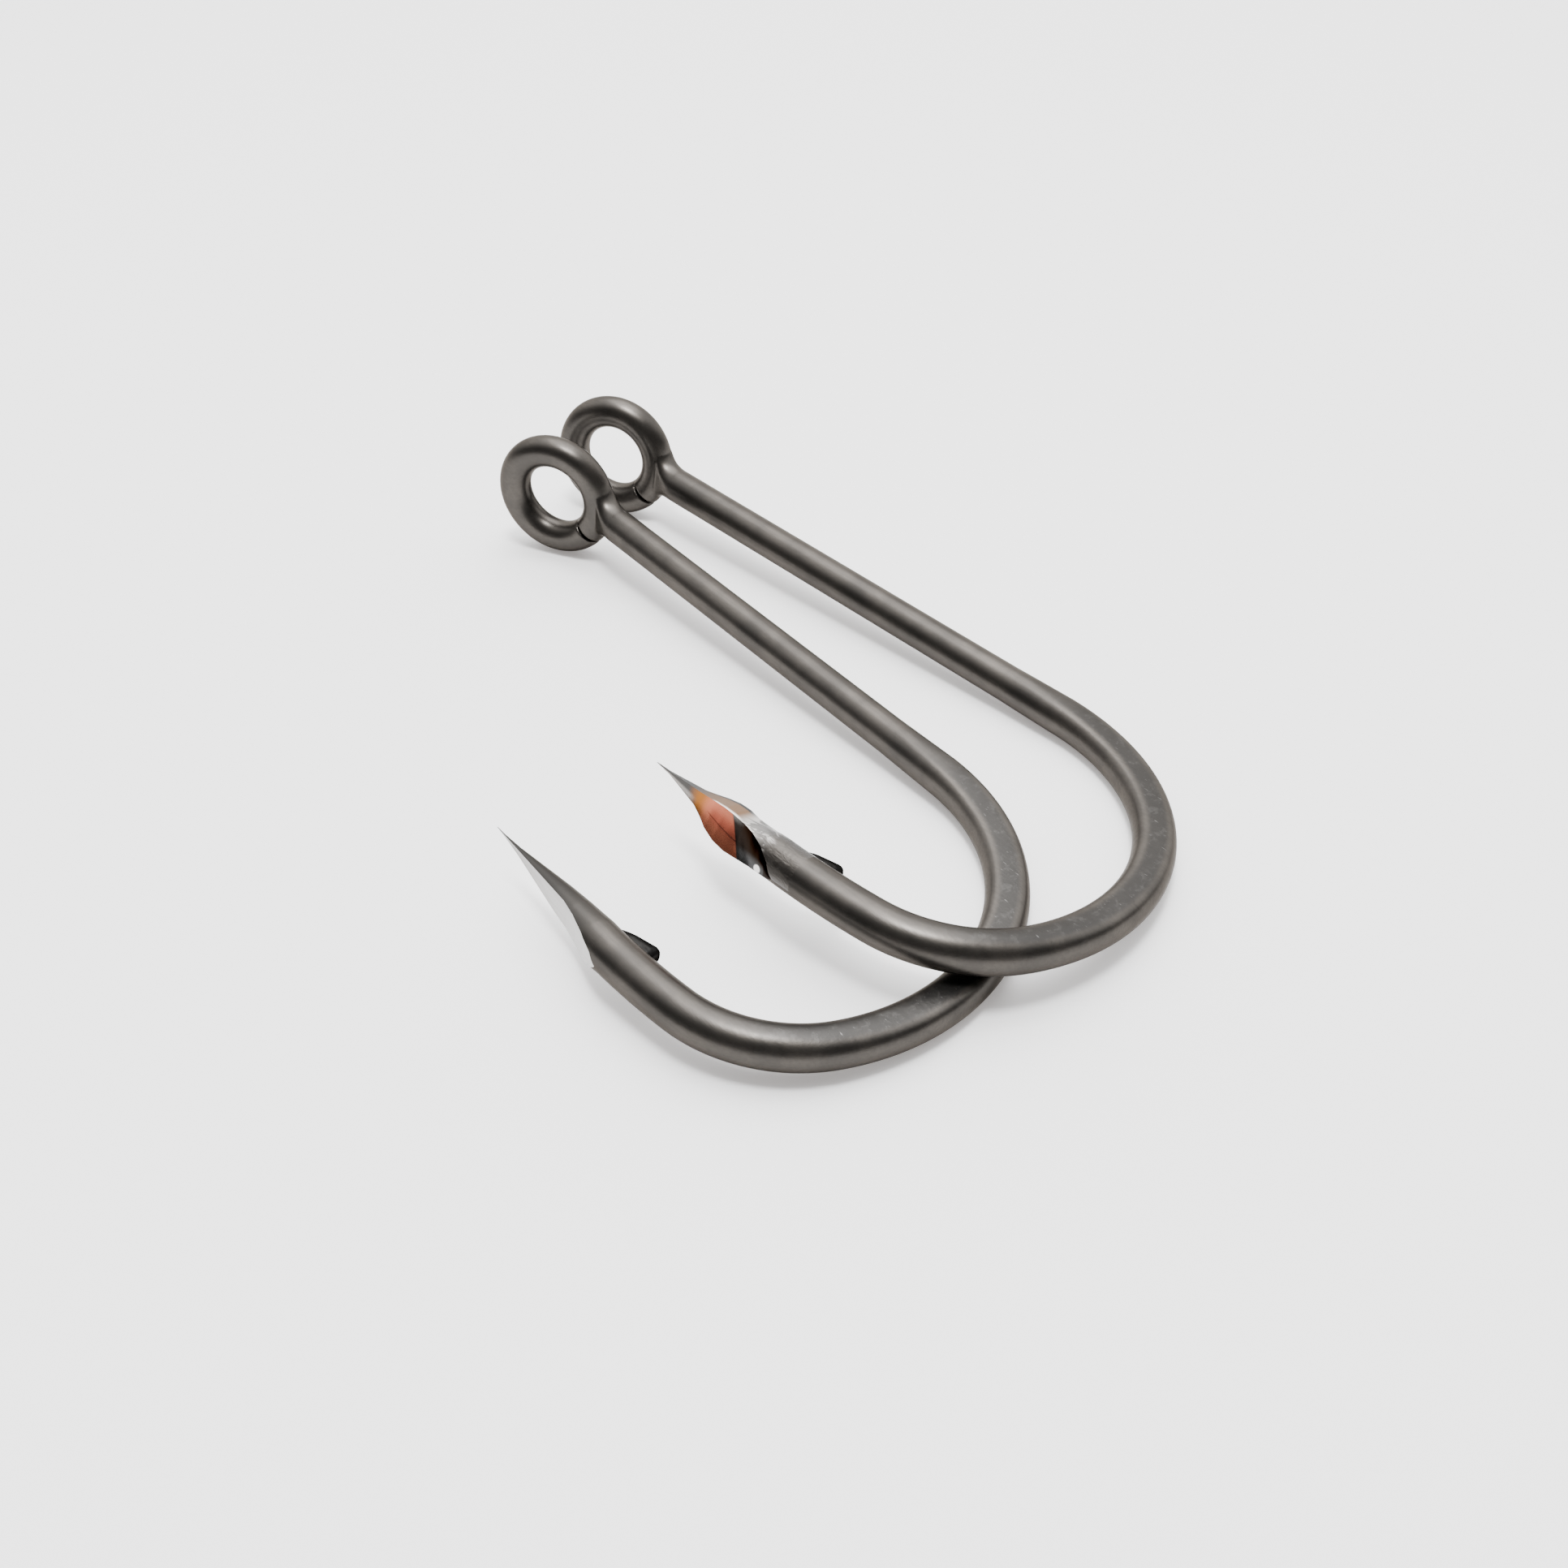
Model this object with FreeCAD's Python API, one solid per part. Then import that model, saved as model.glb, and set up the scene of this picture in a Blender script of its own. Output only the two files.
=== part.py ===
import FreeCAD, Part
import math
import os

# A pair of loose forged fish hooks, one lying across the other.
# Each hook is one piece of wire with a ringed eye, a straight shank, a forged bend,
# a ground point and a barb sliced up from the wire. The zones of the wire are
# separate solids that meet face to face.
# Each hook is drawn from the end of its straight shank, where the bend begins.
# Millimetres. The shank of the lower hook runs along +X, +Z is up, and the origin
# is under the middle of the pair, on the surface the hooks lie on.

V = FreeCAD.Vector

# wire
wire_d = 1.40
forged_width = 1.50
forged_thickness = 1.15
forging_run_in = 2.6
forging_run_out = 5.4
leg_clear_of_forging = 0.6

# eye
eye_wire_d = 1.30
eye_hole_d = 2.64
eye_land = 0.40
eye_rise = 0.25
eye_end_deg = 40.0
eye_closing_gap = 0.10
neck_length = 1.9

# hook shape, along the middle of the wire
lower_shank_length = 22.6
upper_shank_length = 24.1
first_bend_radius = 8.12
first_bend_deg = 113.6
second_bend_radius = 5.06
second_bend_deg = 59.1
leg_radius = 27.3
leg_deg = 11.1
spear_length = 4.8

# point and barb
ground_length = 6.1
tip_radius = 0.03
point_fullness = 0.08
facet_depth = 0.13
barb_from_tip = 8.35
barb_length = 1.65
barb_height = 0.40
barb_thickness = 0.64

# how the pair lies
bend_gap_x = 0.33
bend_gap_y = 5.86
upper_yaw_deg = 5.43
lower_lean_deg = 3.0
resting_clearance = 0.05
lower_eye_swing_deg = 27.0
upper_eye_swing_deg = 22.0

# derived sizes
eye_radius = (eye_hole_d + eye_wire_d) / 2.0
land_radius = math.sqrt((eye_wire_d / 2.0) ** 2 - (eye_land / 2.0) ** 2)
bore_radius = eye_radius - land_radius
neck_end = eye_radius + eye_wire_d / 2.0 + neck_length
leg_length = math.radians(leg_deg) * leg_radius
point_length = leg_length + spear_length


class Path:
    """The middle line of a hook, as straight and curved runs joined smoothly.

    It lies in the XY plane. Positive turns go towards -Y, where the point is.
    """

    def __init__(self):
        self.at = V(0, 0, 0)
        self.heading = 0.0
        self.runs = []

    def straight(self, length):
        self.runs.append((self.at, self.heading, length, 0.0))
        self.at = self.at + self.ahead(self.heading) * length

    def arc(self, radius, degrees):
        self.runs.append((self.at, self.heading, radius * math.radians(degrees), radius))
        self.at = self.place(self.runs[-1], self.runs[-1][2])[0]
        self.heading = self.heading + math.radians(degrees)

    def ahead(self, heading):
        return V(math.cos(heading), -math.sin(heading), 0)

    def place(self, run, distance):
        """Position and direction a distance along one run."""
        start, heading, length, radius = run
        if radius == 0.0:
            return start + self.ahead(heading) * distance, self.ahead(heading)
        centre = start + V(-math.sin(heading), -math.cos(heading), 0) * radius
        turned = heading + distance / radius
        away = V(math.sin(turned), math.cos(turned), 0) * radius
        return centre + away, self.ahead(turned)


def disc(centre, direction, radius):
    return Part.Wire([Part.Circle(centre, direction, radius).toShape()])


def curved_rod(start, direction, radius, degrees, rod_radius):
    """A round rod bent to a radius, turning towards the point."""
    sideways = V(direction.y, -direction.x, 0)
    centre = start + sideways * radius
    face = Part.Face(disc(start, direction, rod_radius))
    return face.revolve(centre, V(0, 0, -1), degrees)


def half_space(point, normal):
    """A block filling everything near a plane on the side its normal points to."""
    size = 4.0 * point_length
    block = Part.makeBox(size, size, size, V(-size / 2.0, -size / 2.0, 0))
    block.Placement = FreeCAD.Placement(point, FreeCAD.Rotation(V(0, 0, 1), normal))
    return block


def hook_path():
    path = Path()
    path.arc(first_bend_radius, first_bend_deg)
    path.arc(second_bend_radius, second_bend_deg)
    path.arc(leg_radius, leg_deg)
    path.straight(spear_length)
    return path


def forging_die():
    """The space between the forging faces.

    It opens out towards the shank and, on the other side of the bend, towards the leg.
    """
    half = forged_thickness / 2.0
    clear = forged_width / 2.0 * 1.001
    reach = 4.0 * first_bend_radius
    shank_side = [
        V(-reach, 0, clear),
        V(-forging_run_in, 0, clear),
        V(forging_run_in, 0, half),
        V(reach, 0, half),
        V(reach, 0, -half),
        V(forging_run_in, 0, -half),
        V(-forging_run_in, 0, -clear),
        V(-reach, 0, -clear),
        V(-reach, 0, clear),
    ]
    face = Part.Face(Part.makePolygon(shank_side))
    face.translate(V(0, -reach, 0))
    space = face.extrude(V(0, 2.0 * reach, 0))
    leg_line = hook_path().at.y
    leg_side = [
        V(0, leg_line + forging_run_out + leg_clear_of_forging, half),
        V(0, leg_line + leg_clear_of_forging, clear),
        V(0, leg_line - reach, clear),
        V(0, leg_line - reach, -clear),
        V(0, leg_line + leg_clear_of_forging, -clear),
        V(0, leg_line + forging_run_out + leg_clear_of_forging, -half),
        V(0, leg_line + forging_run_out + leg_clear_of_forging, half),
    ]
    opening = Part.Face(Part.makePolygon(leg_side)).extrude(V(reach, 0, 0))
    return space.fuse(opening)


def make_eye(shank_length, swing_deg):
    """A ring closed back onto the underside of the shank, with its neck.

    The ring is turned a little sideways where it leaves the shank.
    """
    ring = Part.makeTorus(eye_radius, eye_wire_d / 2.0, V(0, 0, 0), V(0, 1, 0))
    inside = eye_radius - eye_wire_d
    outside = eye_radius + eye_wire_d
    start = 20.0
    slit = math.degrees(eye_closing_gap / bore_radius)
    notch = [
        around_eye(inside, start),
        around_eye(outside, start),
        around_eye(outside, eye_end_deg),
        around_eye(inside, start + slit),
        around_eye(inside, start),
    ]
    gap = Part.Face(Part.makePolygon(notch))
    gap.translate(V(0, -wire_d, 0))
    ring = ring.cut(gap.extrude(V(0, 2.0 * wire_d, 0)))
    # the forming pin leaves a short straight wall inside the ring
    pin = Part.makeCylinder(bore_radius, 2.0 * wire_d, V(0, -wire_d, 0), V(0, 1, 0))
    ring = ring.cut(pin)
    for shape in (ring, pin):
        shape.translate(V(0, 0, eye_rise))
        shape.rotate(V(eye_radius, 0, 0), V(0, 0, 1), swing_deg)
    start = eye_radius * 0.85
    neck = Part.makeCone(eye_wire_d * 0.46, wire_d / 2.0, neck_end - start, V(start, 0, 0), V(1, 0, 0))
    eye = ring.fuse(neck.cut(pin)).removeSplitter()
    eye.translate(V(-shank_length, 0, 0))
    return eye


def around_eye(radius, degrees):
    """A point beside the ring, measured down from the shank side."""
    angle = math.radians(degrees)
    return V(radius * math.cos(angle), 0, -radius * math.sin(angle))


def make_shank(shank_length):
    straight = shank_length - neck_end - forging_run_in
    return Part.makeCylinder(wire_d / 2.0, straight, V(neck_end - shank_length, 0, 0), V(1, 0, 0))


def make_bend(path, die):
    """The wire swells sideways where the forging flattens it."""
    swell = Part.makeCone(
        wire_d / 2.0,
        forged_width / 2.0,
        forging_run_in,
        V(-forging_run_in, 0, 0),
        V(1, 0, 0),
    )
    at, ahead = path.place(path.runs[0], 0.0)
    first = curved_rod(at, ahead, first_bend_radius, first_bend_deg, forged_width / 2.0)
    at, ahead = path.place(path.runs[1], 0.0)
    second = curved_rod(at, ahead, second_bend_radius, second_bend_deg, forged_width / 2.0)
    return swell.fuse(first).fuse(second).common(die).removeSplitter()


def wire_radius(to_tip):
    """Radius of the wire a distance back from the tip of the point."""
    if to_tip > ground_length:
        share = (to_tip - ground_length) / (point_length - ground_length)
        return (wire_d + (forged_width - wire_d) * share) / 2.0
    share = to_tip / ground_length
    fullness = share + point_fullness * math.sin(share * math.pi)
    return tip_radius + (wire_d / 2.0 - tip_radius) * fullness


def point_station(path, to_tip):
    if to_tip < spear_length:
        return path.place(path.runs[3], spear_length - to_tip)
    return path.place(path.runs[2], point_length - to_tip)


def make_point(path):
    """The leg and the spear, with two facets ground on the outside of the point."""
    stations = [1.0, 0.9, 0.8, 0.68, 0.56, 0.44, 0.32, 0.2, 0.1, 0.04, 0.0]
    rings = []
    for share in stations:
        to_tip = share * point_length
        at, ahead = point_station(path, to_tip)
        rings.append(disc(at, ahead, wire_radius(to_tip)))
    leg = Part.makeLoft(rings, True)
    tip, ahead = point_station(path, 0.0)
    outward = V(-ahead.y, ahead.x, 0)
    slope = math.atan2(wire_d / 2.0 - facet_depth - tip_radius, ground_length)
    for side in (1.0, -1.0):
        facing = outward + V(0, 0, side)
        facing.normalize()
        plane_normal = facing * math.cos(slope) + ahead * math.sin(slope)
        leg = leg.cut(half_space(tip + facing * tip_radius, plane_normal))
    return leg.removeSplitter()


def make_barb(path, point):
    """A sliver raised on the shank side, with its free end towards the bend."""
    root, root_ahead = point_station(path, barb_from_tip - barb_length)
    free, free_ahead = point_station(path, barb_from_tip)
    inward = V(free_ahead.y, -free_ahead.x, 0)
    half = wire_radius(barb_from_tip)
    start = root + inward * (half * 0.80)
    crest = free + inward * (half + barb_height)
    heel = free + inward * (half + barb_height * 0.30) + free_ahead * (barb_length * 0.10)
    belly = free + inward * (half * 0.60) + free_ahead * (barb_length * 0.22)
    rise = root + (free - root) * 0.5 + inward * (half + barb_height * 0.52)
    end = free + inward * (half + barb_height * 0.75) - free_ahead * (barb_height * 0.30)
    edges = [
        Part.Arc(start, rise, crest).toShape(),
        Part.Arc(crest, end, heel).toShape(),
        Part.makeLine(heel, belly),
        Part.makeLine(belly, start),
    ]
    face = Part.Face(Part.Wire(edges))
    face.translate(V(0, 0, -barb_thickness / 2.0))
    sliver = face.extrude(V(0, 0, barb_thickness))
    return sliver.cut(point)


def make_hook(shank_length, swing_deg):
    path = hook_path()
    die = forging_die()
    point = make_point(path)
    return {
        "eye": make_eye(shank_length, swing_deg),
        "shank": make_shank(shank_length),
        "bend": make_bend(path, die),
        "point": point,
        "barb": make_barb(path, point),
    }


def pose(x, y, z, yaw, pitch, roll):
    """Angles in degrees: pitch lowers the bend, a negative roll raises the point."""
    turn = FreeCAD.Rotation(V(0, 0, 1), yaw)
    turn = turn.multiply(FreeCAD.Rotation(V(0, 1, 0), pitch))
    turn = turn.multiply(FreeCAD.Rotation(V(1, 0, 0), roll))
    return FreeCAD.Placement(V(x, y, z), turn)


def posed(shape, placement):
    return shape.transformed(placement.toMatrix())


def height_over_floor(shape):
    depth = upper_shank_length
    size = 8.0 * depth
    floor = Part.makePlane(size, size, V(-size / 2.0, -size / 2.0, -depth))
    return shape.distToShape(floor)[0] - depth


def rest_on_floor(hook, x, y, yaw, roll):
    """Lower the hook until its eye and its bend both touch the floor."""
    z = 0.0
    pitch = 0.0
    for step in range(6):
        placement = pose(x, y, z, yaw, pitch, roll)
        eye_height = height_over_floor(posed(hook["eye"], placement))
        bend_height = height_over_floor(posed(hook["bend"], placement))
        z = z - bend_height
        pitch = pitch + math.degrees((bend_height - eye_height) / (upper_shank_length + first_bend_radius))
    return pose(x, y, z, yaw, pitch, roll)


def rest_on_hook(hook, x, y, yaw, below):
    """Let the point side down until it rests on the bend of the hook below."""
    high = -20.0
    low = 0.0
    for step in range(12):
        roll = (high + low) / 2.0
        placement = rest_on_floor(hook, x, y, yaw, roll)
        if posed(hook["bend"], placement).distToShape(below)[0] > resting_clearance:
            high = roll
        else:
            low = roll
    return rest_on_floor(hook, x, y, yaw, high)


lower_hook = make_hook(lower_shank_length, lower_eye_swing_deg)
upper_hook = make_hook(upper_shank_length, upper_eye_swing_deg)
lower = rest_on_floor(lower_hook, 0.0, 0.0, 0.0, -lower_lean_deg)
lower_bend = posed(lower_hook["bend"], lower)
upper = rest_on_hook(upper_hook, bend_gap_x, bend_gap_y, upper_yaw_deg, lower_bend)

nodes = {}
for zone in lower_hook:
    nodes["lower_" + zone] = posed(lower_hook[zone], lower)
    nodes["upper_" + zone] = posed(upper_hook[zone], upper)

pair = Part.makeCompound(list(nodes.values()))
box = pair.optimalBoundingBox()
shift = V(-(box.XMin + box.XMax) / 2.0, -(box.YMin + box.YMax) / 2.0, -box.ZMin)

os.makedirs("parts", exist_ok=True)
for name in sorted(nodes):
    shape = nodes[name]
    shape.translate(shift)
    shape.exportStep("parts/" + name + ".step")
    print(name, "solids", len(shape.Solids), "valid", shape.isValid(), "volume", round(shape.Volume, 3))

eyes = {
    "lower": (lower, lower_shank_length, lower_eye_swing_deg),
    "upper": (upper, upper_shank_length, upper_eye_swing_deg),
}
for name in eyes:
    placement, shank_length, swing_deg = eyes[name]
    swing = FreeCAD.Rotation(V(0, 0, 1), swing_deg)
    eye_middle = V(eye_radius - shank_length, 0, eye_rise) - swing.multVec(V(eye_radius, 0, 0))
    eye = placement.multVec(eye_middle) + shift
    across = placement.Rotation.multVec(swing.multVec(V(0, 1, 0)))
    angles = placement.Rotation.toEuler()
    print(name, "eye at", [round(c, 4) for c in eye], "axis", [round(c, 6) for c in across])
    print(name, "base", [round(c, 4) for c in placement.Base + shift], "angles", [round(a, 3) for a in angles])
print("bore radius", round(bore_radius, 4), "size", [round(c, 2) for c in (box.XLength, box.YLength, box.ZLength)])
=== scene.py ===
import bmesh
import bpy
import math
from mathutils import Matrix, Vector


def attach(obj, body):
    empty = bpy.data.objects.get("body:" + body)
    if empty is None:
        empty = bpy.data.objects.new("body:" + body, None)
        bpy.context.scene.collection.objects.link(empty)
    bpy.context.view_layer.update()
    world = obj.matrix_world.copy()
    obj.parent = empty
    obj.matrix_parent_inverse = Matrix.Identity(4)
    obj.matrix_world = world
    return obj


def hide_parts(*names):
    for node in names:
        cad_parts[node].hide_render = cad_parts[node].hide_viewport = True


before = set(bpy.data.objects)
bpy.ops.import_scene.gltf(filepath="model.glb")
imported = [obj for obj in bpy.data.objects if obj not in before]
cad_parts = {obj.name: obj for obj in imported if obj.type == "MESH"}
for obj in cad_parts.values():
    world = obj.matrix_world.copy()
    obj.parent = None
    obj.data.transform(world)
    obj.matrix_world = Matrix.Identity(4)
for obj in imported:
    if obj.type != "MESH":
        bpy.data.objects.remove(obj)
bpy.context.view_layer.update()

# Radii, half thicknesses and lengths of the wire, in millimetres, as in the CAD model.
MM = 0.001
WIRE_RADIUS = 0.70
EYE_WIRE_RADIUS = 0.65
EYE_RADIUS = 1.97
EYE_RISE = 0.25
NECK_END = EYE_RADIUS + EYE_WIRE_RADIUS + 1.9
FORGED_RADIUS = 0.75
FLAT_HALF = 0.575
FLAT_RUN_IN = 2.6
FLAT_RUN_OUT = 5.4
LEG_CLEAR = 0.6
BENDS = [(8.12, 113.6), (5.06, 59.1), (27.3, 11.1)]
SPEAR = 4.8

# How far from the tip the ground facets reach, and how finely the meshes are divided.
HEEL = 6.6
LOWER_HEEL = 7.1
TAN_HEEL = 7.4
ROUND = 144
FACET = 48
TAN_EDGE = 84
SHANK_ROUND = 96
EYE_ROUND = 64
BARB_ROUND = 32
LEG_AND_SPEAR = BENDS[2][0] * math.radians(BENDS[2][1]) + SPEAR
WHOLE = sum(radius * math.radians(turn) for radius, turn in BENDS) + SPEAR

HOOKS = {
    "lower": {"shank": 22.6, "swing": 27.0},
    "upper": {"shank": 24.1, "swing": 22.0},
}


# ---- the wire's middle line ----

def along_wire(s):
    """Where the wire is and which way it heads, a distance past the end of the shank."""
    x, y, heading = 0.0, 0.0, 0.0
    if s <= 0.0:
        return Vector((s, 0.0, 0.0)), 0.0
    for radius, turn in BENDS:
        run = radius * math.radians(turn)
        step = min(s, run)
        after = heading + step / radius
        x += radius * (math.sin(after) - math.sin(heading))
        y += radius * (math.cos(after) - math.cos(heading))
        heading = after
        s -= step
        if s <= 0.0:
            return Vector((x, y, 0.0)), heading
    return Vector((x + s * math.cos(heading), y - s * math.sin(heading), 0.0)), heading


LEG_LINE = along_wire(WHOLE)[0].y


def ease(share):
    share = min(1.0, max(0.0, share))
    return share * share * (3.0 - 2.0 * share)


def forging(at):
    """How far the forging has flattened the wire here, from 0 to 1."""
    from_shank = ease((at.x + FLAT_RUN_IN) / (2.0 * FLAT_RUN_IN))
    from_leg = ease((at.y - LEG_LINE - LEG_CLEAR) / FLAT_RUN_OUT)
    return min(from_shank, from_leg)


def profile(stops, at):
    """Straight runs between a few chosen stops, level past either end."""
    if at <= stops[0][0]:
        return stops[0][1]
    for (a, low), (b, high) in zip(stops, stops[1:]):
        if at <= b:
            return low + (high - low) * (at - a) / (b - a)
    return stops[-1][1]


# ---- mesh making ----

def piece(name, hook, mesh, zone):
    """Takes a mesh drawn on the hook's own axes in millimetres and lays it in place."""
    spot = mesh.attributes.new("spot", "FLOAT_VECTOR", "POINT")
    for note, corner in zip(spot.data, mesh.vertices):
        note.vector = corner.co
    mesh.transform(HOOKS[hook]["frame"] @ Matrix.Scale(MM, 4))
    made = bpy.data.objects.new(name, mesh)
    bpy.context.scene.collection.objects.link(made)
    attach(made, hook + "_hook")
    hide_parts(hook + "_" + zone)
    return made


def rings_to_mesh(name, rings, from_tip, angles, parts=None):
    """Skins a row of closed rings and notes on each corner its distance from the tip."""
    mesh = bpy.data.meshes.new(name)
    count = len(rings[0])
    points = [tuple(p) for ring in rings for p in ring]
    faces = []
    slots = []
    for i in range(len(rings) - 1):
        for j in range(count):
            k = (j + 1) % count
            faces.append((i * count + j, i * count + k, (i + 1) * count + k, (i + 1) * count + j))
            slots.append(parts(j, from_tip[i]) if parts else 0)
    mesh.from_pydata(points, [], faces)
    tip = mesh.attributes.new("from_tip", "FLOAT", "POINT")
    around = mesh.attributes.new("around", "FLOAT", "POINT")
    for i in range(len(rings)):
        for j in range(count):
            tip.data[i * count + j].value = from_tip[i]
            around.data[i * count + j].value = angles[i][j]
    mesh.polygons.foreach_set("material_index", slots)
    mesh.shade_smooth()
    return mesh


def section_frame(s):
    at, heading = along_wire(s)
    outward = Vector((math.sin(heading), math.cos(heading), 0.0))
    return at, outward


def forged_ring(s):
    """The wire's outline in the bend: round sides and two pressed flats."""
    at, outward = section_frame(s)
    pressed = forging(at)
    radius = WIRE_RADIUS + (FORGED_RADIUS - WIRE_RADIUS) * min(1.0, max(0.0, (s + FLAT_RUN_IN) / FLAT_RUN_IN))
    if s > WHOLE - LEG_AND_SPEAR:
        radius = FORGED_RADIUS
    limit = FLAT_HALF + (radius + 0.02 - FLAT_HALF) * (1.0 - pressed)
    crisp = 3.0 + 6.0 * ease((at.y - LEG_LINE - 1.0) / 9.0)
    crown = limit ** -crisp - (radius + 0.021) ** -crisp
    ring = []
    angles = []
    for j in range(ROUND):
        turn = 2.0 * math.pi * j / ROUND
        high = radius * math.sin(turn)
        size = abs(high)
        if size > 1e-6:
            soft = (size ** -crisp + crown) ** (-1.0 / crisp)
            high *= 1.0 + (soft / size - 1.0) * ease(pressed * 5.0)
        ring.append(at + outward * (radius * math.cos(turn)) + Vector((0.0, 0.0, high)))
        angles.append(math.degrees(turn))
    return ring, angles


def shank(hook):
    length = HOOKS[hook]["shank"]
    start, end = NECK_END - length, -FLAT_RUN_IN
    stations = [start + (end - start) * i / 60 for i in range(61)]
    rings = []
    angles = []
    for s in stations:
        ring = []
        for j in range(SHANK_ROUND):
            turn = 2.0 * math.pi * j / SHANK_ROUND
            ring.append(Vector((s, WIRE_RADIUS * math.cos(turn), WIRE_RADIUS * math.sin(turn))))
        rings.append(ring)
        angles.append([360.0 * j / SHANK_ROUND for j in range(SHANK_ROUND)])
    mesh = rings_to_mesh(hook + "_shank_wire", rings, [WHOLE - s for s in stations], angles)
    return piece(hook + "_shank_wire", hook, mesh, "shank")


def bend(hook):
    start, end = -FLAT_RUN_IN, WHOLE - LEG_AND_SPEAR
    stations = [start + (end - start) * i / 200 for i in range(201)]
    made = [forged_ring(s) for s in stations]
    mesh = rings_to_mesh(
        hook + "_bend_wire",
        [ring for ring, angles in made],
        [WHOLE - s for s in stations],
        [angles for ring, angles in made],
    )
    return piece(hook + "_bend_wire", hook, mesh, "bend")


# ---- ground points ----

def polar(outward, degrees, radius):
    turn = math.radians(degrees)
    return outward * (radius * math.cos(turn)) + Vector((0.0, 0.0, radius * math.sin(turn)))


def lower_outline(to_tip):
    """Back radius, the facet's upper and lower corner angles, and how much the belly swells."""
    radius = profile(
        [
            (0.0, 0.012), (0.5, 0.040), (1.4, 0.135), (2.8, 0.345),
            (4.0, 0.525), (5.1, 0.660), (6.2, 0.745), (10.1, 0.75),
        ],
        to_tip,
    )
    half = profile(
        [(0.0, 71.0), (4.7, 71.0), (5.4, 63.0), (6.1, 49.0), (6.75, 28.0), (LOWER_HEEL, 0.5)],
        to_tip,
    )
    belly = 1.0 + 0.22 * math.sin(math.pi * min(1.0, to_tip / LOWER_HEEL))
    return radius, -5.0 + half, -5.0 - half, belly


def upper_outline(to_tip):
    """Back radius, the blade's swell, and the angles of its ridge and its lower corner."""
    edge = profile(
        [
            (0.0, 0.012), (0.7, 0.065), (1.5, 0.190), (2.26, 0.305), (2.7, 0.430), (3.14, 0.575),
            (3.65, 0.695), (4.1, 0.725), (4.62, 0.675), (5.2, 0.700), (6.2, 0.745), (10.1, 0.75),
        ],
        to_tip,
    )
    swell = profile(
        [
            (0.0, 0.012), (0.7, 0.060), (1.5, 0.200), (2.26, 0.340), (2.7, 0.510), (3.14, 0.720),
            (3.7, 0.870), (4.28, 0.910), (4.75, 0.860), (5.4, 0.785), (6.2, 0.75), (10.1, 0.75),
        ],
        to_tip,
    )
    ridge = profile(
        [(0.0, 76.0), (4.6, 72.0), (5.2, 61.0), (5.8, 45.0), (6.3, 20.0), (HEEL, -17.5)],
        to_tip,
    )
    lower = profile([(0.0, -48.0), (5.0, -48.0), (6.1, -42.0), (HEEL, -18.5)], to_tip)
    return edge, swell, ridge, lower


def point_stations():
    stations = []
    to_tip = LEG_AND_SPEAR
    while to_tip > 0.0:
        stations.append(to_tip)
        if to_tip > 7.4:
            to_tip -= 0.12
        elif to_tip > 0.4:
            to_tip -= 0.05
        else:
            to_tip -= 0.02
    stations.append(0.0)
    return stations


def lower_point_ring(to_tip):
    """A needle with one hollow facet ground on its outer side."""
    s = WHOLE - to_tip
    at, outward = section_frame(s)
    radius, top, bottom, belly = lower_outline(to_tip)
    ring = []
    angles = []
    upper_corner = polar(outward, top, radius)
    lower_corner = polar(outward, bottom, radius * belly)
    hollow = 0.04 * (upper_corner - lower_corner).length
    for j in range(FACET):
        share = j / FACET
        flat = lower_corner.lerp(upper_corner, share)
        bow = 4.0 * share * (1.0 - share)
        ring.append(at + flat - outward * (hollow * bow))
        angles.append(bottom + (top - bottom) * share)
    for j in range(ROUND - FACET):
        share = j / (ROUND - FACET)
        degrees = top + (bottom + 360.0 - top) * share
        ring.append(at + polar(outward, degrees, radius * (1.0 + (belly - 1.0) * share * share)))
        angles.append(degrees)
    return ring, angles


def upper_point_ring(to_tip):
    """A spear head: two facets that meet along a ridge, with a rounded back."""
    s = WHOLE - to_tip
    at, outward = section_frame(s)
    edge, swell, ridge, lower = upper_outline(to_tip)
    blade = profile([(0.0, 0.0), (2.0, 0.25), (3.0, 1.0), (4.5, 1.0), (5.6, 0.0)], to_tip)
    heel = profile([(0.0, 1.0), (4.6, 1.0), (5.8, 0.0)], to_tip)
    ring = []
    angles = []
    ridge_radius = edge * (1.0 - 0.22 * blade)
    ridge_corner = polar(outward, ridge, ridge_radius)
    lower_corner = polar(outward, lower, swell)
    inner = 148.0
    inner_corner = polar(outward, inner, edge)
    across = (ridge_corner - lower_corner).length
    inward = polar(outward, (ridge + lower) / 2.0, 1.0)
    for j in range(FACET):
        share = j / FACET
        bow = 4.0 * share * (1.0 - share)
        ring.append(at + lower_corner.lerp(ridge_corner, share) - inward * (0.03 * across * bow))
        angles.append(lower + (ridge - lower) * share)
    for j in range(TAN_EDGE - FACET):
        share = j / (TAN_EDGE - FACET)
        degrees = ridge + (inner - ridge) * share
        arc = polar(outward, degrees, ridge_radius + (edge - ridge_radius) * share)
        chord = ridge_corner.lerp(inner_corner, share)
        ring.append(at + arc.lerp(chord, heel))
        angles.append(degrees)
    for j in range(ROUND - TAN_EDGE):
        share = j / (ROUND - TAN_EDGE)
        degrees = inner + (lower + 360.0 - inner) * share
        plump = edge + (swell - edge) * share * share - 0.12 * edge * blade * math.sin(math.pi * share)
        ring.append(at + polar(outward, degrees, plump))
        angles.append(degrees)
    return ring, angles


def lower_face(column, to_tip):
    """Which finish a strip takes: 1 on the ground facet, 0 on the plated leg."""
    return 1 if column < FACET and to_tip < LOWER_HEEL else 0


def upper_face(column, to_tip):
    """1 on the facet with painted reflections, 2 on the tan one, 0 on the plated leg."""
    if column < FACET and to_tip < HEEL:
        return 1
    return 2 if FACET <= column < TAN_EDGE and to_tip < TAN_HEEL else 0


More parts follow.
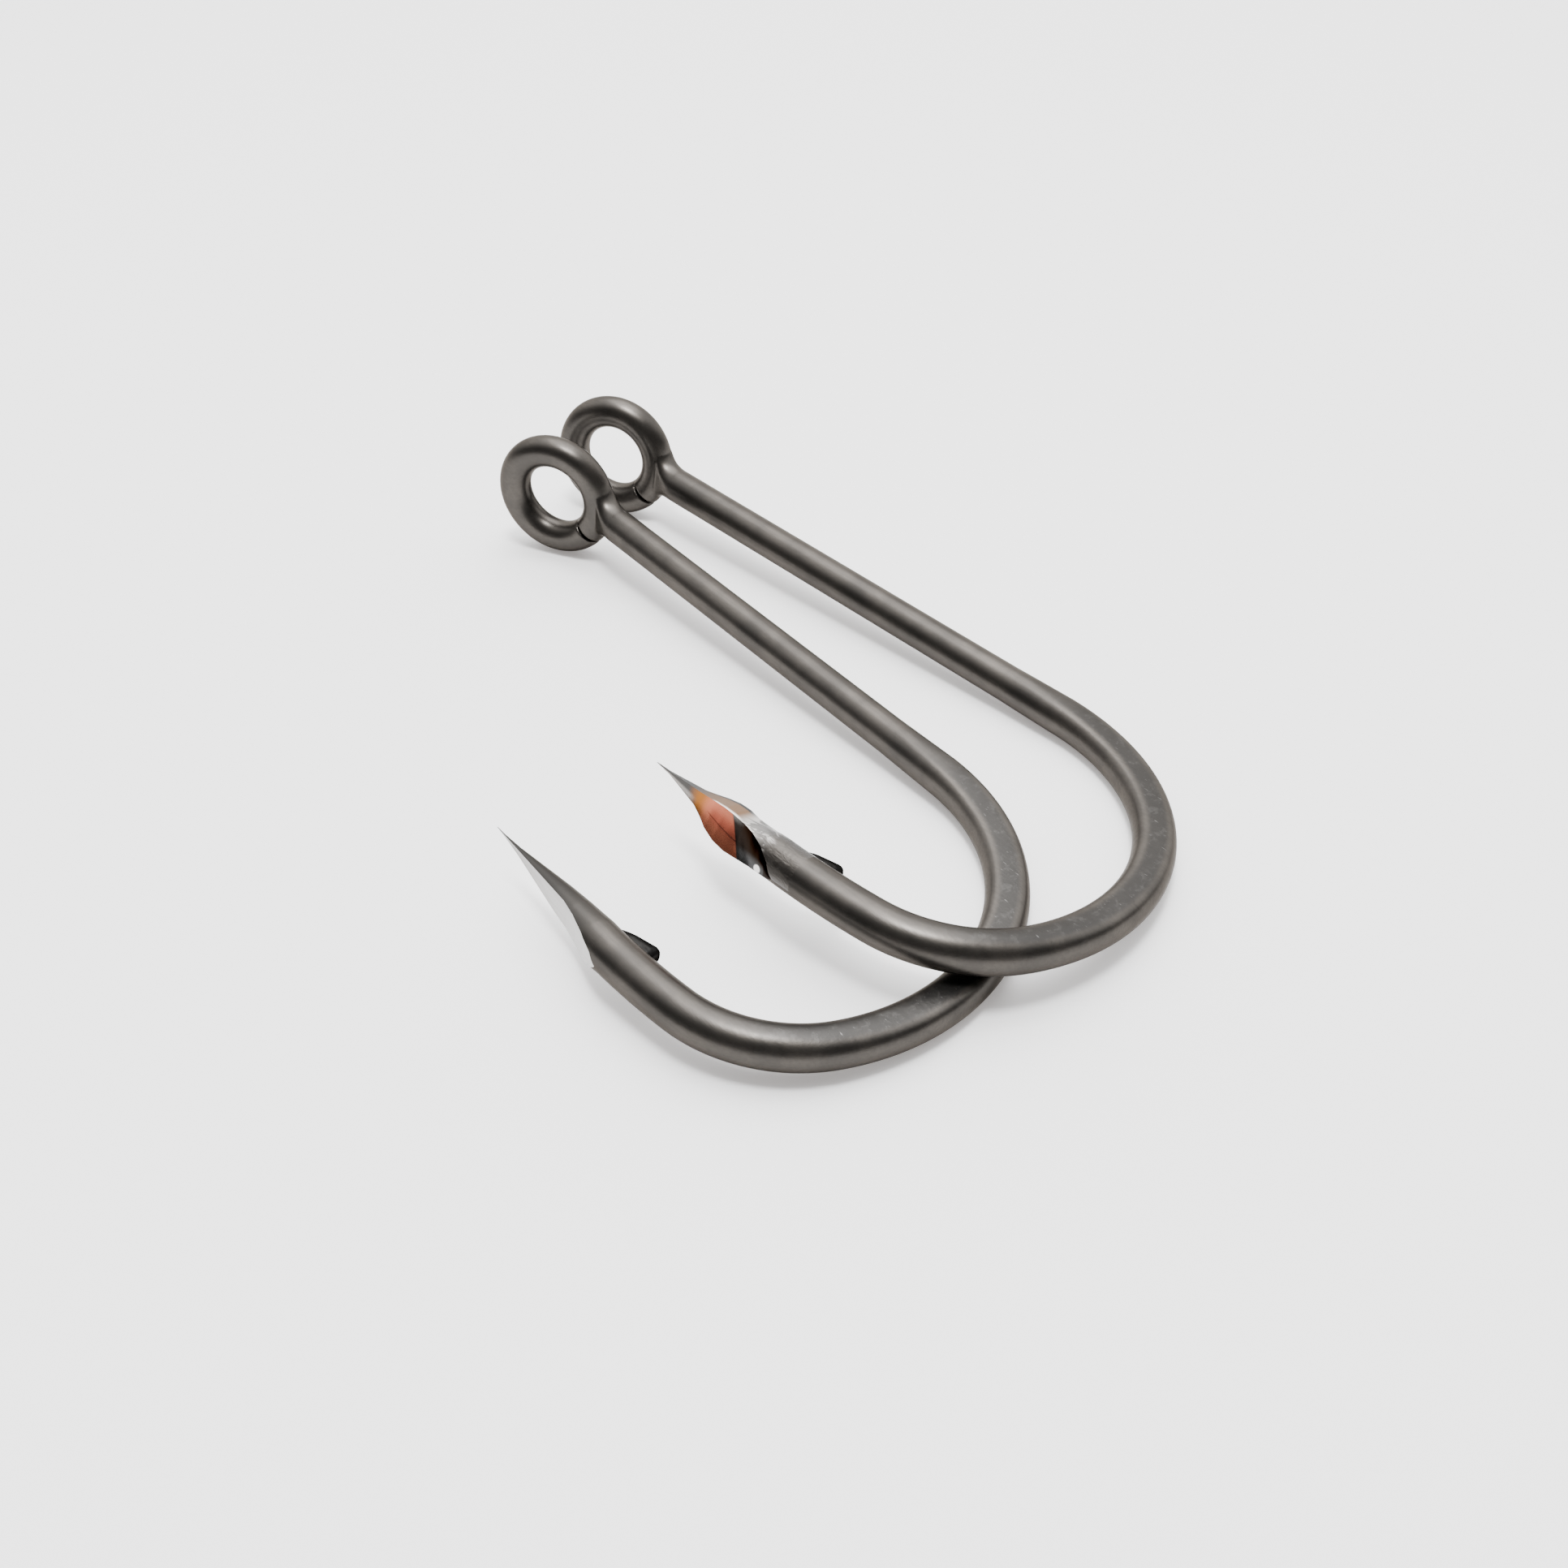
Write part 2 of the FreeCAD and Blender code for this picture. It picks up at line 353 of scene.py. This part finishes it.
def point(hook):
    stations = point_stations()
    if hook == "lower":
        made = [lower_point_ring(to_tip) for to_tip in stations]
        parts = lower_face
    else:
        made = [upper_point_ring(to_tip) for to_tip in stations]
        parts = upper_face
    mesh = rings_to_mesh(
        hook + "_ground_point",
        [ring for ring, angles in made],
        stations,
        [angles for ring, angles in made],
        parts,
    )
    crease_corners(mesh, stations, [0, FACET] if hook == "lower" else [0, FACET, TAN_EDGE])
    return piece(hook + "_ground_point", hook, mesh, "point")


def crease_corners(mesh, stations, corners):
    """Keeps the ground edges crisp from the tip as far as the heel of the facets."""
    sharp = set()
    for i in range(len(stations) - 1):
        if stations[i] < 7.0:
            for j in corners:
                sharp.add((i * ROUND + j, (i + 1) * ROUND + j))
    for line in mesh.edges:
        if tuple(sorted(line.vertices)) in sharp:
            line.use_edge_sharp = True


# ---- eye ----

def closed_tube(bm, rings):
    """Skins rows of places into a closed solid."""
    made = [[bm.verts.new(place) for place in ring] for ring in rings]
    count = len(rings[0])
    for one, two in zip(made, made[1:]):
        for j in range(count):
            k = (j + 1) % count
            bm.faces.new((one[j], one[k], two[k], two[j]))
    bm.faces.new(made[0])
    bm.faces.new(list(reversed(made[-1])))


def ring_of_wire(bm):
    """The wire round the eye; its square end butts against the start of the ring."""
    rings = []
    first, last = -37.0, 319.6
    for i in range(141):
        angle = math.radians(first + (last - first) * i / 140.0)
        ring = []
        for j in range(EYE_ROUND):
            turn = 2.0 * math.pi * j / EYE_ROUND
            reach = EYE_RADIUS + EYE_WIRE_RADIUS * math.cos(turn)
            across = EYE_WIRE_RADIUS * math.sin(turn)
            ring.append((reach * math.cos(angle), across, reach * math.sin(angle) + EYE_RISE))
        rings.append(ring)
    closed_tube(bm, rings)


def neck(bm):
    """Where the shank runs into the ring, with a hollow fillet above and below."""
    outside = EYE_RADIUS + EYE_WIRE_RADIUS
    fillet = 1.1
    rings = []
    for i in range(61):
        x = EYE_RADIUS + (NECK_END + 0.5 - EYE_RADIUS) * i / 60.0
        edges = []
        for way in (1.0, -1.0):
            centre = math.sqrt((outside + fillet) ** 2 - (WIRE_RADIUS + fillet - way * EYE_RISE) ** 2)
            meets = centre * outside / (outside + fillet)
            if x >= centre:
                edges.append(WIRE_RADIUS + 0.004)
            elif x > meets:
                hollow = fillet - math.sqrt(fillet ** 2 - (centre - x) ** 2)
                edges.append(WIRE_RADIUS + hollow - 0.08 * ease((centre - x) / fillet))
            else:
                curve = math.sqrt(outside ** 2 - x ** 2)
                edges.append(curve + way * EYE_RISE - 0.08 - 0.9 * (meets - x))
        thick = 0.46 + (WIRE_RADIUS + 0.004 - 0.46) * ease((x - EYE_RADIUS) / 1.5)
        ring = []
        for j in range(EYE_ROUND):
            turn = 2.0 * math.pi * j / EYE_ROUND
            up = math.sin(turn)
            middle = edges[0] - thick if up >= 0.0 else thick - edges[1]
            ring.append((x, thick * math.cos(turn), middle + thick * up))
        rings.append(ring)
    closed_tube(bm, rings)


def eye(hook):
    """The wire is turned round a pin and ends square against the shank's underside."""
    length = HOOKS[hook]["shank"]
    swing = Matrix.Rotation(math.radians(HOOKS[hook]["swing"]), 4, "Z")
    hinge = Vector((EYE_RADIUS, 0.0, 0.0))
    bm = bmesh.new()
    ring_of_wire(bm)
    bmesh.ops.translate(bm, verts=bm.verts, vec=-hinge)
    bmesh.ops.transform(bm, matrix=swing, verts=bm.verts)
    bmesh.ops.translate(bm, verts=bm.verts, vec=hinge)
    neck(bm)
    bmesh.ops.recalc_face_normals(bm, faces=bm.faces)
    rough = bpy.data.meshes.new("eye_rough")
    bm.to_mesh(rough)
    bm.free()
    smooth = melted(rough)
    bm = bmesh.new()
    bm.from_mesh(smooth)
    bmesh.ops.bisect_plane(
        bm,
        geom=bm.verts[:] + bm.edges[:] + bm.faces[:],
        plane_co=(NECK_END, 0.0, 0.0),
        plane_no=(1.0, 0.0, 0.0),
        clear_outer=True,
    )
    bmesh.ops.translate(bm, verts=bm.verts, vec=(-length, 0.0, 0.0))
    mesh = bpy.data.meshes.new(hook + "_ringed_eye")
    bm.to_mesh(mesh)
    bm.free()
    tip = mesh.attributes.new("from_tip", "FLOAT", "POINT")
    tip.data.foreach_set("value", [WHOLE + length] * len(mesh.vertices))
    mesh.attributes.new("around", "FLOAT", "POINT")
    mesh.shade_smooth()
    return piece(hook + "_ringed_eye", hook, mesh, "eye")


def melted(rough):
    """Joins overlapping bodies into one skin with small fillets, in millimetres."""
    lump = bpy.data.objects.new("lump", rough)
    bpy.context.scene.collection.objects.link(lump)
    skin = lump.modifiers.new("skin", "REMESH")
    skin.mode = "VOXEL"
    skin.voxel_size = 0.04
    relax = lump.modifiers.new("relax", "SMOOTH")
    relax.factor = 0.5
    relax.iterations = 12
    seen = bpy.context.evaluated_depsgraph_get()
    mesh = bpy.data.meshes.new_from_object(lump.evaluated_get(seen))
    bpy.data.objects.remove(lump)
    return mesh


# ---- barb ----

def barb(hook):
    """A tongue sliced up on the shank side, with its rounded end towards the bend."""
    root, free = 6.15, 8.12
    high = [
        (0.0, -0.02), (0.2, 0.16), (0.45, 0.31), (0.7, 0.43),
        (0.86, 0.50), (0.93, 0.48), (0.975, 0.38), (1.0, 0.10),
    ]
    rings = []
    stations = []
    angles = []
    for i in range(61):
        share = 1.0 - (1.0 - i / 60.0) ** 1.6
        to_tip = root + (free - root) * share
        at, outward = section_frame(WHOLE - to_tip)
        rise = profile(high, share)
        rounding = math.sqrt(max(0.02, 1.0 - max(0.0, (share - 0.84) / 0.17) ** 2))
        half = 0.35 * rounding * (0.55 + 0.45 * ease(share * 2.0))
        low = -(0.42 - 0.10 * share)
        ring = []
        for j in range(BARB_ROUND):
            turn = 2.0 * math.pi * j / BARB_ROUND
            across = abs(math.cos(turn)) ** 0.7 * math.copysign(1.0, math.cos(turn))
            up = abs(math.sin(turn)) ** 0.8 * math.copysign(1.0, math.sin(turn))
            height = (rise + low) / 2.0 + (rise - low) / 2.0 * up
            ring.append(at - outward * (WIRE_RADIUS + height) + Vector((0.0, 0.0, half * across)))
        rings.append(ring)
        stations.append(to_tip)
        angles.append([180.0] * BARB_ROUND)
    mesh = rings_to_mesh(hook + "_sliced_barb", rings, stations, angles)
    mesh.flip_normals()
    return piece(hook + "_sliced_barb", hook, mesh, "barb")


# ---- materials ----

class Flow:
    """A number or vector on its way through a material, used in plain arithmetic."""

    def __init__(self, finish, socket):
        self.finish = finish
        self.socket = socket

    def sum_of(self, operation, one, two):
        return self.finish.node("ShaderNodeMath", {"operation": operation}, {0: one, 1: two})

    def __add__(self, other):
        return self.sum_of("ADD", self, other)

    def __radd__(self, other):
        return self.sum_of("ADD", other, self)

    def __sub__(self, other):
        return self.sum_of("SUBTRACT", self, other)

    def __rsub__(self, other):
        return self.sum_of("SUBTRACT", other, self)

    def __mul__(self, other):
        return self.sum_of("MULTIPLY", self, other)

    def __rmul__(self, other):
        return self.sum_of("MULTIPLY", other, self)

    def __truediv__(self, other):
        return self.sum_of("DIVIDE", self, other)

    def between(self, low, high):
        """0 below low, 1 above high, eased in between."""
        return self.finish.node(
            "ShaderNodeMapRange",
            {"interpolation_type": "SMOOTHSTEP"},
            {"Value": self, "From Min": low, "From Max": high},
        )


class Finish:
    """One material, or the room around the hooks, being put together."""

    def __init__(self, name, owner=None):
        self.material = owner or bpy.data.materials.new(name)
        self.material.use_nodes = True
        self.tree = self.material.node_tree
        self.shader = self.tree.nodes.get("Principled BSDF")

    def node(self, kind, settings, inputs, output=0):
        made = self.tree.nodes.new(kind)
        for key, value in settings.items():
            setattr(made, key, value)
        for key, value in inputs.items():
            self.feed(made.inputs[key], value)
        return Flow(self, made.outputs[output])

    def feed(self, socket, value):
        if isinstance(value, Flow):
            self.tree.links.new(value.socket, socket)
        else:
            socket.default_value = value

    def set(self, **values):
        for key, value in values.items():
            self.feed(self.shader.inputs[key.replace("_", " ").title()], value)

    def noted(self, name):
        return self.node("ShaderNodeAttribute", {"attribute_name": name}, {}, "Fac")

    def place(self, stretch=(1.0, 1.0, 1.0)):
        """Position on the hook in millimetres, stretched for grain."""
        spot = self.node("ShaderNodeAttribute", {"attribute_name": "spot"}, {}, "Vector")
        scale = tuple(1.0 / s for s in stretch)
        return self.node("ShaderNodeVectorMath", {"operation": "MULTIPLY"}, {0: spot, 1: scale})

    def noise(self, place, scale, detail=4.0, rough=0.55, warp=0.0):
        return self.node(
            "ShaderNodeTexNoise",
            {},
            {"Vector": place, "Scale": scale, "Detail": detail, "Roughness": rough, "Distortion": warp},
            "Fac",
        )

    def mix(self, share, one, two):
        return self.node(
            "ShaderNodeMix",
            {"data_type": "RGBA"},
            {0: share, 6: one, 7: two},
            2,
        )

    def bump(self, height, strength, distance):
        return self.node(
            "ShaderNodeBump",
            {},
            {"Height": height, "Strength": strength, "Distance": distance},
        )


def shade(level, warmth=0.0):
    return (level * (1.0 + warmth), level, level * (1.0 - warmth), 1.0)


def plating(finish):
    """Satin black-nickel plating over drawn wire: its colour and roughness before any wear."""
    cloud = finish.noise(finish.place(), 0.8, 3.0, 0.5)
    grain = finish.noise(finish.place((6.0, 1.0, 1.0)), 9.0, 3.0, 0.6)
    base = finish.mix(cloud.between(0.3, 0.7), shade(0.051, 0.08), shade(0.068, 0.10))
    base = finish.mix(grain.between(0.35, 0.75) * 0.35, base, shade(0.042, 0.08))
    finish.shader.inputs["Metallic"].default_value = 1.0
    finish.shader.inputs["Specular Tint"].default_value = (0.58, 0.56, 0.54, 1.0)
    return base, 0.28 + grain * 0.06 + cloud * 0.06, grain


def plated_wire():
    """Plated wire with faint blotches, as on the shank and the eye."""
    finish = Finish("plated_wire")
    base, rough, grain = plating(finish)
    finish.set(base_color=base, roughness=rough, normal=finish.bump(grain, 0.10, 0.00001))
    return finish.material


def pressed_wire():
    """The same plating on the forged bend: scuffed, mottled flats with bright nicks, and painted shade on the
    upward flat.
    """
    finish = Finish("pressed_wire")
    base, rough, grain = plating(finish)
    place = finish.place()
    tip = finish.noted("from_tip")
    mottle = finish.noise(place, 3.0, 5.0, 0.65, 0.4)
    nicks = finish.noise(finish.place((1.4, 0.35, 1.0)), 4.0, 2.0, 0.7)
    around = finish.noted("around")
    up = finish.node("ShaderNodeMath", {"operation": "SINE"}, {0: around * (math.pi / 180.0)})
    pressed = tip.between(10.4, 14.5) * (1.0 - tip.between(29.5, 33.6))
    flats = up.between(0.84, 0.97) * pressed
    # painted shade: the upward-facing flat is darkened
    base = finish.mix(flats * 0.85, base, shade(0.036, 0.03))
    base = finish.mix(mottle.between(0.50, 0.70) * (pressed * 0.20 + flats * 0.45), base, shade(0.066, 0.04))
    base = finish.mix((1.0 - mottle.between(0.22, 0.42)) * pressed * 0.4, base, shade(0.028, 0.03))
    base = finish.mix(nicks.between(0.68, 0.76) * flats * 0.6, base, shade(0.16, 0.02))
    finish.set(
        base_color=base,
        roughness=rough + (mottle * 0.14 - 0.04) * pressed,
        normal=finish.bump(grain * 0.35 + mottle * pressed, 0.25, 0.00003),
    )
    return finish.material


def ground_face():
    """Bright steel left by the grinding wheel, streaked from heel to tip, with painted shade towards its
    upper corner.
    """
    finish = Finish("ground_face")
    tip = finish.noted("from_tip")
    around = finish.noted("around")
    streaks = finish.noise(finish.place((9.0, 1.0, 1.0)), 7.0, 3.0, 0.6)
    cloud = finish.noise(finish.place(), 1.2, 2.0, 0.5)
    base = finish.mix(tip.between(0.5, 6.0), shade(0.22, 0.05), shade(0.40, 0.02))
    base = finish.mix(streaks.between(0.35, 0.7) * 0.30, base, shade(0.54, 0.01))
    # painted shade: the facet darkens towards its upper corner
    across = (around + 76.0) / 142.0
    base = finish.mix(across.between(0.45, 1.0) * 0.35, base, shade(0.20, 0.04))
    edge = 1.0 - tip.between(0.0, 0.9)
    base = finish.mix(edge * 0.7, base, shade(0.20, 0.03))
    finish.set(
        base_color=base,
        metallic=1.0,
        roughness=0.26 + streaks * 0.12 + cloud * 0.05,
        normal=finish.bump(streaks, 0.10, 0.00001),
    )
    return finish.material


def lower_leg():
    """Plating on the lower point's leg and back, thinning towards the tip."""
    finish = Finish("lower_leg")
    base, rough, grain = plating(finish)
    tip = finish.noted("from_tip")
    base = finish.mix(1.0 - tip.between(3.5, 7.0), base, shade(0.036, 0.05))
    finish.set(base_color=base, roughness=rough, normal=finish.bump(grain, 0.10, 0.00001))
    return finish.material


def upper_leg():
    """Plating on the upper point's leg, rubbed bright in wrinkles beside the heel."""
    finish = Finish("upper_leg")
    base, rough, grain = plating(finish)
    tip = finish.noted("from_tip")
    wrinkle = finish.noise(finish.place((2.5, 1.0, 1.0)), 3.2, 5.0, 0.6, 1.2)
    fading = 1.0 - (tip + wrinkle * 1.6).between(6.6, 7.6)
    rubbed = (1.0 - wrinkle.between(0.42, 0.52)) * fading * tip.between(4.8, 5.4)
    base = finish.mix(rubbed * 0.7, base, shade(0.26, 0.05))
    finish.set(base_color=base, roughness=rough, normal=finish.bump(grain, 0.10, 0.00001))
    return finish.material


def reflection_painted_face():
    """Polished facet with painted reflections and painted shade: amber, salmon, then black at the heel."""
    finish = Finish("reflection_painted_face")
    tip = finish.noted("from_tip")
    around = finish.noted("around")
    across = (around + 48.0) / 122.0
    cloud = finish.noise(finish.place((3.0, 1.0, 1.0)), 1.1, 3.0, 0.5, 0.5)
    spread = tip + cloud * 0.5 - 0.25
    salmon = (0.44, 0.145, 0.085, 1.0)
    brick = (0.23, 0.055, 0.035, 1.0)
    # painted shade: pale at the facet's lower edge, dark towards the ridge
    painted_across_shade = finish.mix(across.between(0.05, 0.60), shade(0.42, 0.06), shade(0.060, 0.04))
    # painted reflection: amber, then salmon, further from the tip
    base = finish.mix(spread.between(1.7, 2.4), painted_across_shade, (0.27, 0.105, 0.028, 1.0))
    base = finish.mix(spread.between(2.4, 3.0), base, salmon)
    # painted shade: a darker brick band across the middle of the facet
    painted_middle_shade = across.between(0.18, 0.50) * (1.0 - across.between(0.62, 0.95) * 0.6)
    base = finish.mix(painted_middle_shade * spread.between(2.7, 3.4) * 0.85, base, brick)
    # a thin dark line across the facet
    dark_line_offset = across - 0.50 + (tip - 2.9) * 0.06
    thin = 1.0 - (dark_line_offset * dark_line_offset).between(0.0001, 0.0006)
    base = finish.mix(thin * tip.between(2.9, 3.2) * 0.8, base, (0.10, 0.03, 0.02, 1.0))
    # painted reflection: a black patch over the heel, paler near the ridge
    heel = (tip - 4.05 - (1.0 - across) * 0.85).between(-0.04, 0.05)
    painted_dark_reflection = finish.mix(across.between(0.15, 0.40), shade(0.060, 0.0), (0.018, 0.014, 0.012, 1.0))
    painted_dark_reflection = finish.mix(across.between(0.80, 1.0) * (1.0 - tip.between(4.2, 4.8)), painted_dark_reflection, shade(0.10, 0.05))
    base = finish.mix(heel, base, painted_dark_reflection)
    # painted highlight: a small white spot near the facet's lower edge
    ahead, aside = (tip - 5.80) * 6.0, (across - 0.12) * 9.0
    painted_glint = 1.0 - (ahead * ahead + aside * aside).between(0.5, 1.0)
    base = finish.mix(painted_glint, base, shade(0.75, 0.02))
    finish.shader.inputs["Specular Tint"].default_value = (0.30, 0.28, 0.27, 1.0)
    finish.set(base_color=base, metallic=1.0, roughness=0.24 - heel * 0.04)
    return finish.material


def tan_face():
    """The narrow upper facet: pale tan steel that pales to white at the heel, with a painted highlight along
    the ridge.
    """
    finish = Finish("tan_face")
    tip = finish.noted("from_tip")
    wrinkle = finish.noise(finish.place((2.5, 1.0, 1.0)), 3.2, 5.0, 0.6, 1.2)
    around = finish.noted("around")
    base = finish.mix(tip.between(1.8, 3.0), shade(0.050, 0.01), (0.155, 0.085, 0.042, 1.0))
    # painted highlight: a white stripe along the ridge
    painted_ridge_highlight = (1.0 - (around - 72.0).between(3.0, 9.0 + tip * 1.5)) * tip.between(2.9, 3.3)
    base = finish.mix(painted_ridge_highlight, base, (0.90, 0.84, 0.78, 1.0))
    rim = around.between(133.0, 138.0) * tip.between(2.5, 2.9) * (1.0 - tip.between(4.4, 4.7))
    base = finish.mix(rim, base, shade(0.025, 0.02))
    base = finish.mix(tip.between(4.1, 4.7), base, shade(0.50, 0.04))
    worn = wrinkle.between(0.42, 0.52) * tip.between(4.2, 4.8)
    base = finish.mix(worn * 0.85, base, shade(0.13, 0.05))
    base = finish.mix((tip + wrinkle * 1.6).between(5.9, 7.0), base, shade(0.058, 0.09))
    finish.set(
        base_color=base,
        metallic=1.0,
        roughness=0.24 + wrinkle * 0.12,
        normal=finish.bump(wrinkle * tip.between(4.0, 5.0), 0.5, 0.00006),
    )
    return finish.material


def dark_barb():
    """The barb is darker than the plated wire around it."""
    finish = Finish("dark_barb")
    grain = finish.noise(finish.place((3.0, 1.0, 1.0)), 5.0, 3.0, 0.6)
    base = finish.mix(grain.between(0.3, 0.7), shade(0.008, 0.02), shade(0.020, 0.03))
    finish.shader.inputs["Specular Tint"].default_value = (0.30, 0.29, 0.28, 1.0)
    finish.set(base_color=base, metallic=1.0, roughness=0.34 + grain * 0.1)
    return finish.material


# ---- placing the hooks ----

def hook_frame(hook):
    """The hook's own axes, read from its shank and the tip of its point in the CAD model."""
    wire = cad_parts[hook + "_shank"]
    spots = [wire.matrix_world @ v.co for v in wire.data.vertices]
    middle = (min(p.x for p in spots) + max(p.x for p in spots)) / 2.0
    ends = []
    for side in (-1.0, 1.0):
        end = [p for p in spots if (p.x - middle) * side > 0.0]
        low = Vector(min(p[k] for p in end) for k in range(3))
        high = Vector(max(p[k] for p in end) for k in range(3))
        ends.append((low + high) / 2.0)
    ahead = (ends[1] - ends[0]).normalized()
    start = ends[1] + ahead * (FLAT_RUN_IN * MM)
    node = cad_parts[hook + "_point"]
    tip = min((node.matrix_world @ v.co for v in node.data.vertices), key=lambda p: p.x)
    up = (tip - start).cross(ahead).normalized()
    side = up.cross(ahead)
    turn = Matrix((ahead, side, up)).transposed().to_4x4()
    return Matrix.Translation(start) @ turn


def hooks():
    wire = plated_wire()
    pressed = pressed_wire()
    black = dark_barb()
    for hook in HOOKS:
        HOOKS[hook]["frame"] = hook_frame(hook)
        eye(hook).data.materials.append(wire)
        shank(hook).data.materials.append(wire)
        bend(hook).data.materials.append(pressed)
        barb(hook).data.materials.append(black)
    lower = point("lower").data.materials
    lower.append(lower_leg())
    lower.append(ground_face())
    upper = point("upper").data.materials
    upper.append(upper_leg())
    upper.append(reflection_painted_face())
    upper.append(tan_face())


# ---- stage ----

def floor():
    mesh = bpy.data.meshes.new("floor")
    s = 1.5
    mesh.from_pydata([(-s, -s, 0), (s, -s, 0), (s, s, 0), (-s, s, 0)], [], [(0, 1, 2, 3)])
    sheet = bpy.data.objects.new("floor", mesh)
    bpy.context.scene.collection.objects.link(sheet)
    finish = Finish("pale_floor")
    finish.set(base_color=(0.815, 0.818, 0.822, 1.0), roughness=0.9)
    finish.shader.inputs["Emission Color"].default_value = (1.0, 0.94, 0.91, 1.0)
    finish.shader.inputs["Emission Strength"].default_value = 0.30
    mesh.materials.append(finish.material)


def camera():
    data = bpy.data.cameras.new("camera")
    seat = bpy.data.objects.new("camera", data)
    bpy.context.scene.collection.objects.link(seat)
    data.sensor_width = 36.0
    data.lens = 43.07
    data.clip_start = 0.001
    data.clip_end = 10.0
    azimuth, height, tilt = math.radians(50.559), math.radians(39.295), math.radians(-0.637)
    look = Vector((
        -math.sin(azimuth) * math.cos(height),
        math.cos(azimuth) * math.cos(height),
        -math.sin(height),
    ))
    right = Vector((math.cos(azimuth), math.sin(azimuth), 0.0))
    up = right.cross(look)
    level = right * math.cos(tilt) + up * math.sin(tilt)
    top = up * math.cos(tilt) - right * math.sin(tilt)
    stand = Matrix.Translation((0.044209, -0.032739, 0.042721))
    seat.matrix_world = stand @ Matrix((level, top, -look)).transposed().to_4x4()
    bpy.context.scene.camera = seat


def softbox(name, place, size, power):
    data = bpy.data.lights.new(name, "AREA")
    data.shape = "DISK"
    data.size = size
    data.energy = power
    lamp = bpy.data.objects.new(name, data)
    bpy.context.scene.collection.objects.link(lamp)
    lamp.location = place
    lamp.rotation_euler = (-Vector(place)).to_track_quat("-Z", "Y").to_euler()


def studio():
    """A bright white room behind and above the hooks, and a darker one in front."""
    room = bpy.data.worlds.new("room")
    bpy.context.scene.world = room
    finish = Finish("room", room)
    way = finish.node("ShaderNodeTexCoord", {}, {}, "Generated")
    bright_way = Vector((-0.55, 0.50, 0.67)).normalized()
    facing = finish.node(
        "ShaderNodeVectorMath", {"operation": "DOT_PRODUCT"}, {0: way, 1: tuple(bright_way)}, "Value"
    )
    level = facing.between(0.10, 0.85)
    colour = finish.mix(level, shade(0.22, 0.03), shade(3.1, 0.0))
    room_shader = finish.tree.nodes["Background"]
    finish.feed(room_shader.inputs["Color"], colour)


hooks()
floor()
camera()
studio()
softbox("window", (-0.118, 0.107, 0.300), 0.28, 0.90)
softbox("overhead", (-0.01, 0.02, 0.30), 0.18, 0.45)
softbox("sparkle", (0.02, -0.02, 0.28), 0.07, 0.85)
